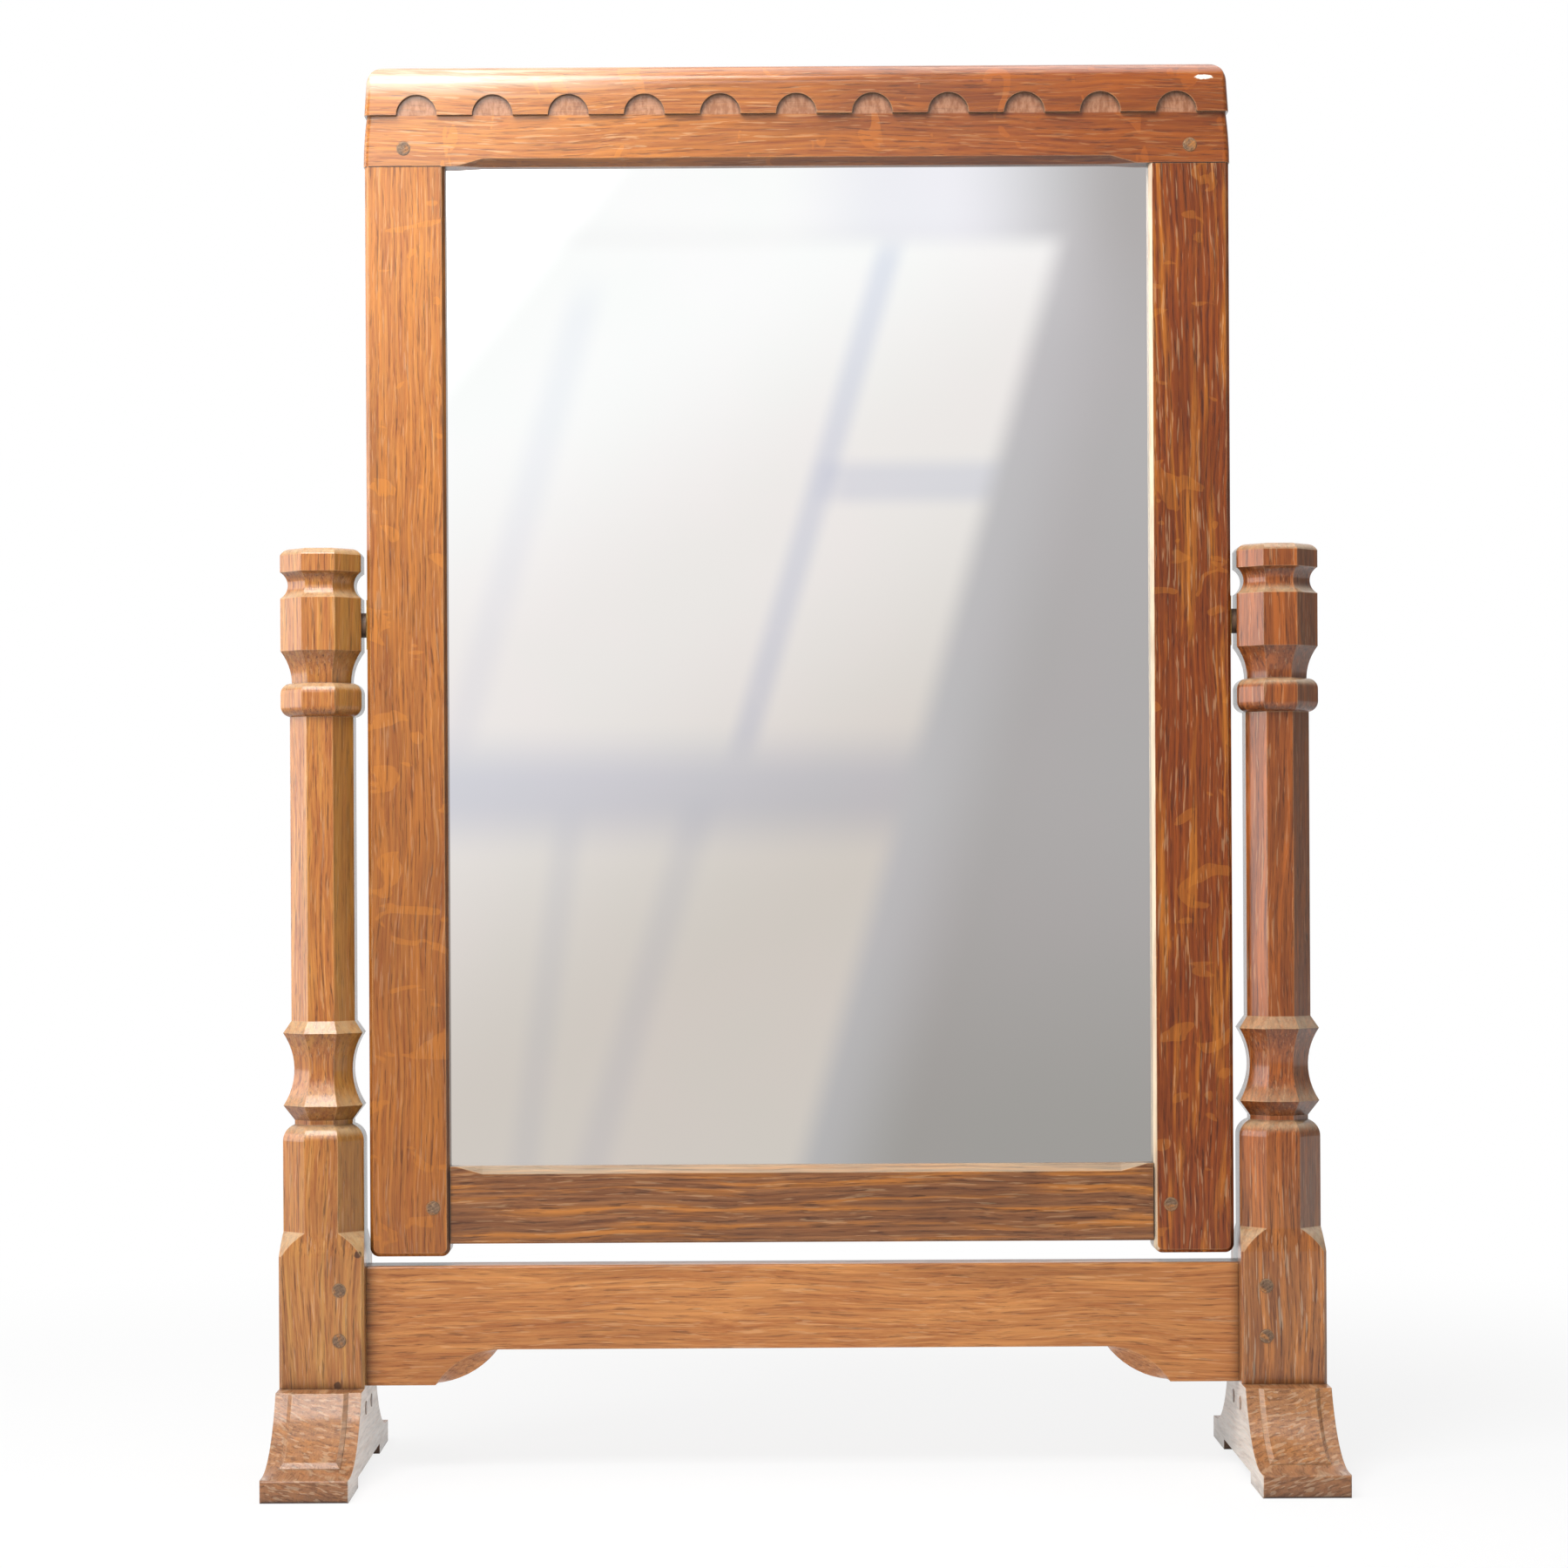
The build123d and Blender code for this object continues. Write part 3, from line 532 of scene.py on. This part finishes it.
# %% Metal and fibre
def worn_metal(name, clean, tarnish, roughness, metallic=1.0):
    """Tarnish lies in patches and in corners, and fine scratches run along z."""
    material, tree, shader = new_material(name)
    where = put(tree, "TexCoord").outputs["Object"]
    patch = put(tree, "TexNoise", {"Vector": where, "Scale": 120.0, "Detail": 4.0}).outputs[0]
    scratched = vector(tree, "MULTIPLY", where, (400.0, 400.0, 60.0))
    fine = put(tree, "TexNoise", {"Vector": scratched, "Scale": 6.0, "Detail": 2.0}).outputs[0]
    colour = tint(tree, fade(tree, patch, 0.42, 0.68), linear(*clean), linear(*tarnish))
    corner = put(tree, "AmbientOcclusion", {"Distance": 0.003}, samples=4).outputs["AO"]
    colour = tint(tree, fade(tree, corner, 0.8, 0.3), colour, linear(*tarnish))
    tree.links.new(colour, shader.inputs["Base Color"])
    tree.links.new(fade(tree, fine, 0.3, 0.7, roughness - 0.08, roughness + 0.1), shader.inputs["Roughness"])
    bump = put(tree, "Bump", {"Height": fine, "Strength": 0.15, "Distance": 0.0001})
    tree.links.new(bump.outputs[0], shader.inputs["Normal"])
    shader.inputs["Metallic"].default_value = metallic
    return material


brass = worn_metal("aged_brass", (214, 176, 104), (128, 92, 50), 0.34)
steel = worn_metal("pin_steel", (168, 166, 162), (92, 86, 80), 0.3)
fibre = worn_metal("dark_fibre", (124, 92, 66), (82, 58, 42), 0.55, metallic=0.0)
pivot_parts = {"pivot_plate": brass, "pivot_bush": brass, "pivot_pin": steel, "friction_washer": fibre}
for side in ("left", "right"):
    for part, material in pivot_parts.items():
        dress(side + "_" + part, material)
print("each pivot has", len(pivot_parts), "dressed parts")

# %% [markdown]
# ## Screws
# Fourteen countersunk brass screws hold the back board, and two hold each pivot plate. A slotted head is two
# half discs with a channel between them. Each screw is driven until it is tight, so its slot stops at an
# angle of its own.


# %% Slotted screw heads
def slotted_head(mesh, centre, outward, radius, slot_turn):
    """Add one head to the mesh: a low dome cut by a slot, with its rim on the surface at centre."""
    half_slot, deep, proud, inner = radius * 0.14, radius * 0.38, radius * 0.07, radius * 0.72
    steps = 14
    start = math.asin(half_slot / radius)
    angles = [start + (math.pi - 2 * start) * step / steps for step in range(steps + 1)]
    stand = Vector(outward).to_track_quat("Z", "Y").to_matrix().to_4x4()
    stand = Matrix.Translation(centre) @ stand @ Matrix.Rotation(slot_turn, 4, "Z")

    def corner(x, y, z):
        return mesh.verts.new(stand @ Vector((x, y, z)))

    for half in (1, -1):
        rim = [corner(radius * math.cos(angle), half * radius * math.sin(angle), 0) for angle in angles]
        crown = [corner(inner * math.cos(angle), half * max(inner * math.sin(angle), half_slot), proud)
                 for angle in angles]
        for step in range(steps):
            mesh.faces.new((rim[step], rim[step + 1], crown[step + 1], crown[step]))
        mesh.faces.new(crown)
        edge = [rim[0], crown[0], crown[-1], rim[-1]]
        foot = [mesh.verts.new(vertex.co - Vector(outward) * (deep + (stand.inverted() @ vertex.co).z))
                for vertex in edge]
        for step in range(3):
            mesh.faces.new((edge[step], edge[step + 1], foot[step + 1], foot[step]))
    long_edge = math.cos(start) * radius
    mesh.faces.new([corner(x, y, -deep) for x, y in ((-long_edge, -half_slot), (long_edge, -half_slot),
                                                     (long_edge, half_slot), (-long_edge, half_slot))])


def screw_set(name, places, outward, radius, body):
    """One object for a row of screws. places are points on the surface."""
    first_turn, next_turn = 0.7, 1.9     # radians, so that no two slots line up
    mesh = bmesh.new()
    for count, place in enumerate(places):
        slotted_head(mesh, place, outward, radius, first_turn + next_turn * count)
    bmesh.ops.recalc_face_normals(mesh, faces=mesh.faces)
    data = bpy.data.meshes.new(name)
    mesh.to_mesh(data)
    mesh.free()
    piece = add_piece(name, data, brass)
    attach(piece, body)
    print(name, len(places), "screws")


print("screw heads ready")

# %% [markdown]
# The back board rests on a ledge all round, and the screws go through its edge into that ledge. Their
# places come from the board's own box, so they follow it if the model changes. The plates' screws sit above
# and below each pin.

# %% Back and plate screws
edge_in = 0.0045            # from the board's edge to a screw
end_in = 0.03               # from the rows at top and bottom to the nearest screw in a side
back_radius, plate_radius, plate_reach = 0.0028, 0.0019, 0.0095
low, high = (Vector(corner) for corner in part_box("back_panel"))
side_x, low_z, high_z = high.x - edge_in, low.z + edge_in, high.z - edge_in
places = [(x, high.y, low_z + end_in + (high_z - low_z - 2 * end_in) * step / 3)
          for x in (-side_x, side_x) for step in range(4)]
places += [(side_x * (step - 1) / 2, high.y, z) for z in (low_z, high_z) for step in range(3)]
screw_set("back_screws", places, (0, 1, 0), back_radius, "mirror_frame")
for side, out in (("left", -1), ("right", 1)):
    low, high = (Vector(corner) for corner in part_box(side + "_pivot_plate"))
    face = high.x if out > 0 else low.x
    middle_z = (low.z + high.z) / 2
    places = [(face, 0, middle_z + step * plate_reach) for step in (-1, 1)]
    screw_set(side + "_plate_screws", places, (out, 0, 0), plate_radius, "mirror_frame")

# %% [markdown]
# ## Joint lines
# Many dry winters open a hand-cut joint by a hair, and wax and dust fill it. Four dark threads mark the
# shoulders on the front of the frame. Their places come from the boxes of the rails and the left stile, and
# the right side mirrors them.

# %% Joint lines on the frame
thread, proud, short = 0.0004, 0.0002, 0.004    # width, depth, and how much shorter than the joint
rail_low = Vector(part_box("top_rail")[0])
bottom_low, bottom_high = (Vector(corner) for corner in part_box("bottom_rail"))
stile_low, stile_high = (Vector(corner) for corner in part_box("left_stile"))
front, stile_out, sight = stile_low.y, -stile_low.x, -stile_high.x
stile_middle, bottom_middle = (sight + stile_out) / 2, (bottom_low.z + bottom_high.z) / 2
under_crest = (stile_out - sight - short, proud, thread)
beside_rail = (thread, proud, bottom_high.z - bottom_low.z - short)
lines = bmesh.new()
for side in (-1, 1):
    for centre, size in (((side * stile_middle, front, rail_low.z), under_crest),
                         ((side * sight, front, bottom_middle), beside_rail)):
        placed = Matrix.Translation(centre) @ Matrix.Diagonal((*size, 1.0))
        bmesh.ops.create_cube(lines, size=1.0, matrix=placed)
line_mesh = bpy.data.meshes.new("joint_lines")
lines.to_mesh(line_mesh)
lines.free()
joint_wax = worn_metal("joint_wax", (44, 26, 16), (24, 14, 9), 0.6, metallic=0.0)
joint_lines = add_piece("joint_lines", line_mesh, joint_wax)
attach(joint_lines, "mirror_frame")
print("joint lines", len(line_mesh.polygons), "faces, stile from", round(sight, 4), "to", round(stile_out, 4))

# %% [markdown]
# ## Floor
# The object stands on a plain pale floor. Near the feet it is matt and keeps their shadow. Further off it
# turns into clean white for the camera and reflections alone, so that floor and backdrop meet without a
# line and no extra light falls on the oak.


# %% Floor
def seen_directly(tree, path):
    """1 for rays that the eye follows, straight or by way of a reflection, and 0 for light on the wood."""
    seen = calc(tree, "MAXIMUM", path.outputs["Is Camera Ray"], path.outputs["Is Glossy Ray"])
    return calc(tree, "MAXIMUM", seen, path.outputs["Is Transmission Ray"])


def pale_floor():
    near, far = 0.35, 1.1      # metres from the middle, where white begins and where it is full
    material, tree, out = blank_material("pale_floor")
    where = put(tree, "TexCoord").outputs["Object"]
    away = put(tree, "VectorMath", {0: where}, operation="LENGTH").outputs["Value"]
    matt = put(tree, "BsdfDiffuse", {"Color": linear(238, 238, 238)}).outputs[0]
    white = put(tree, "Emission", {"Color": (1, 1, 1, 1), "Strength": 1.0}).outputs[0]
    seen = seen_directly(tree, put(tree, "LightPath"))
    amount = times(tree, seen, fade(tree, away, near, far, 0.84, 1.0))
    tree.links.new(put(tree, "MixShader", {0: amount, 1: matt, 2: white}).outputs[0], out.inputs[0])
    return material


reach = 6.0
floor_mesh = bpy.data.meshes.new("floor")
corners = [(-reach, -reach, 0), (reach, -reach, 0), (reach, reach, 0), (-reach, reach, 0)]
floor_mesh.from_pydata(corners, [], [(0, 1, 2, 3)])
floor = add_piece("floor", floor_mesh, pale_floor())
print("floor", 2 * reach, "m wide")

# %% [markdown]
# ## Backdrop
# The backdrop is plain white to the camera. As a lamp it is weak, so the soft lamps shape the oak. In shiny
# wax it looks darker towards the camera's right, as a room does on the side away from its window. That
# keeps the right-hand bevels rich and brown.

# %% World
world = bpy.data.worlds.new("studio")
bpy.context.scene.world = world
world.use_nodes = True
tree = world.node_tree
tree.nodes.clear()
path = put(tree, "LightPath")
way = put(tree, "SeparateXYZ", {0: put(tree, "TexCoord").outputs["Generated"]})
towards_back = calc(tree, "SUBTRACT", way.outputs[1], times(tree, way.outputs[0], 0.8))
room = fade(tree, towards_back, -0.7, 0.2, 0.25, 1.0)
seen_room = fade(tree, path.outputs["Is Glossy Ray"], 0.0, 1.0, 1.0, room)
as_lamp = 0.20
strength = fade(tree, seen_directly(tree, path), 0.0, 1.0, as_lamp, seen_room)
sky = put(tree, "Background", {"Color": (1, 1, 1, 1), "Strength": strength})
out = tree.nodes.new("ShaderNodeOutputWorld")
tree.links.new(sky.outputs[0], out.inputs[0])
print("backdrop as a lamp", as_lamp)

# %% [markdown]
# ## Light
# Five soft lamps stand round the mirror. The strong one is high in front on the left, as a window is. Two
# more come from low on the left: one colours the wood and isn't seen in the wax, and the other is seen only
# in the wax and whitens the left edges of every chamfer. A large one overhead lights ledges and the crest,
# and a weak one from near the camera fills the fronts.


# %% Lamps
def soft_box(name, place, aim, size, power, in_reflections=True, on_colour=True):
    lamp = bpy.data.lights.new(name, "AREA")
    lamp.shape = "SQUARE"
    lamp.size = size
    lamp.energy = power
    box = bpy.data.objects.new(name, lamp)
    box.location = place
    box.rotation_euler = (Vector(aim) - Vector(place)).to_track_quat("-Z", "Y").to_euler()
    box.visible_camera = False
    box.visible_glossy = in_reflections
    box.visible_diffuse = on_colour
    bpy.context.scene.collection.objects.link(box)
    print(name, power, "W")


middle = (0.0, 0.0, 0.4)
soft_box("window_high", (-0.50, -0.85, 1.60), middle, 0.9, 26.0)
soft_box("window_side", (-1.55, -0.35, 0.80), middle, 0.8, 6.0, in_reflections=False)
soft_box("side_gleam", (-1.55, -0.10, 0.60), middle, 0.9, 8.0, on_colour=False)
soft_box("ceiling", (0.10, 0.05, 1.90), (0.0, 0.0, 0.3), 1.1, 8.0)
soft_box("front_fill", (-0.5, -2.4, 1.0), (0.05, 0.0, 0.35), 1.2, 7.0, in_reflections=False)

# %% [markdown]
# ## What the glass shows
# A mirror in a photograph shows the room. Here that is a pale card in front that only reflections
# can see: bright where the window is, grey to the lower right, with the faint lines of glazing bars. It is
# drawn by distances from a few straight lines, in the pixels where the glass shows them. The bright side
# and its bars come first.

# %% Window side of the card
BARS = (      # two points on the line, half width, depth of the shadow, upper and lower end
    ((1024, 290), (870, 803), 26, 0.9, 270, 860),
    ((794, 956), (682, 1321), 34, 0.45, 930, 1500),
    ((682, 320), (534, 826), 34, 0.35, 330, 860),
    ((652, 956), (605, 1300), 30, 0.4, 940, 1500),
)
LEVELS = (    # height of the line, half width, depth of the shadow, left end
    (555, 36, 0.8, 950),
    (908, 84, 1.0, -900),
)


def beside(tree, u, v, first, second):
    """Distance in the picture from the line through two of its points, positive on the right."""
    (x0, y0), (x1, y1) = first, second
    length = math.hypot(x1 - x0, y1 - y0)
    across = times(tree, calc(tree, "SUBTRACT", u, x0), (y1 - y0) / length)
    down = times(tree, calc(tree, "SUBTRACT", v, y0), (x1 - x0) / length)
    return calc(tree, "SUBTRACT", across, down)


def window_light(tree, u, v):
    slant = calc(tree, "ADD", v, times(tree, u, 0.55))
    bright = tint(tree, fade(tree, slant, 780, 1120), linear(255, 255, 255), linear(240, 235, 233))
    bright = tint(tree, fade(tree, slant, 1080, 1580), bright, linear(211, 203, 196))
    shadow = (0.79, 0.82, 0.91, 1.0)
    for first, second, half, depth, top, foot in BARS:
        off = calc(tree, "ABSOLUTE", beside(tree, u, v, first, second))
        bar = times(tree, fade(tree, off, half, 2, 0.0, depth), fade(tree, v, top - 30, top + 40))
        bar = times(tree, bar, fade(tree, v, foot + 30, foot - 30))
        bright = tint(tree, bar, bright, shadow, "MULTIPLY")
    for level, half, depth, left in LEVELS:
        off = calc(tree, "ABSOLUTE", calc(tree, "SUBTRACT", v, level))
        bar = times(tree, fade(tree, off, half, 8, 0.0, depth), fade(tree, u, left - 30, left + 30))
        bright = tint(tree, bar, bright, shadow, "MULTIPLY")
    return bright


print("the card has", len(BARS), "upright bars and", len(LEVELS), "level ones")

# %% [markdown]
# To the right of the window's edge lies the grey wall of the room, a little darker towards the floor, with a
# pale strip along its top. The upper left of the card and its far left are brighter than white, since they
# also feed the gleam on the crest and the left edges. The card stands between the mirror and the lens and
# is hidden from the lens itself, so its size on the picture follows from both distances.


# %% Wall side of the card
def room_light(tree, u, v, edge):
    dim = tint(tree, fade(tree, v, 400, 850), linear(184, 180, 181), linear(177, 173, 173))
    dim = tint(tree, fade(tree, v, 850, 1350), dim, linear(162, 158, 155))
    dim = tint(tree, fade(tree, edge, 130, 0, 0.0, 0.5), dim, linear(206, 204, 208))
    top = tint(tree, fade(tree, u, 880, 1030), (1, 1, 1, 1), linear(243, 242, 248))
    top = tint(tree, fade(tree, u, 1080, 1310), top, linear(180, 176, 176))
    return tint(tree, fade(tree, v, 420, 240), dim, top)


def window_card():
    material, tree, out = blank_material("window_card")
    where = put(tree, "SeparateXYZ", {0: put(tree, "TexCoord").outputs["Object"]}).outputs
    right = calc(tree, "SUBTRACT", where[0], camera.location.x)
    up = calc(tree, "SUBTRACT", where[2], camera.location.z)
    u = calc(tree, "ADD", calc(tree, "DIVIDE", right, card_scale), axis_px[0])
    v = calc(tree, "SUBTRACT", axis_px[1], calc(tree, "DIVIDE", up, card_scale))
    edge = beside(tree, u, v, (1212, 284), (917, 1321))
    sunny = times(tree, fade(tree, edge, 24, -14), fade(tree, v, 262, 296))
    colour = tint(tree, sunny, room_light(tree, u, v, edge), window_light(tree, u, v))
    blaze = calc(tree, "ADD", u, times(tree, v, 0.8))
    colour = tint(tree, fade(tree, blaze, 900, 560), colour, (4.5, 4.5, 4.5, 1.0))
    colour = tint(tree, fade(tree, u, 380, -300), colour, (1.6, 1.6, 1.6, 1.0))
    glow = put(tree, "Emission", {"Color": colour, "Strength": 1.0}).outputs[0]
    tree.links.new(glow, out.inputs[0])
    return material


card_share = 0.8            # the card's distance from the mirror, as a share of the lens's
card_y = -distance * card_share
card_scale = distance / focal_px * (1 + card_share)
half_width, card_top = 1.0, 1.6
card_mesh = bpy.data.meshes.new("window_card")
card_mesh.from_pydata([(-half_width, card_y, 0.0), (half_width, card_y, 0.0),
                       (half_width, card_y, card_top), (-half_width, card_y, card_top)], [], [(0, 1, 2, 3)])
card = add_piece("window_card", card_mesh, window_card())
for ray in ("camera", "diffuse", "transmission", "volume_scatter", "shadow"):
    setattr(card, "visible_" + ray, False)
print("card at", round(card_y, 2))
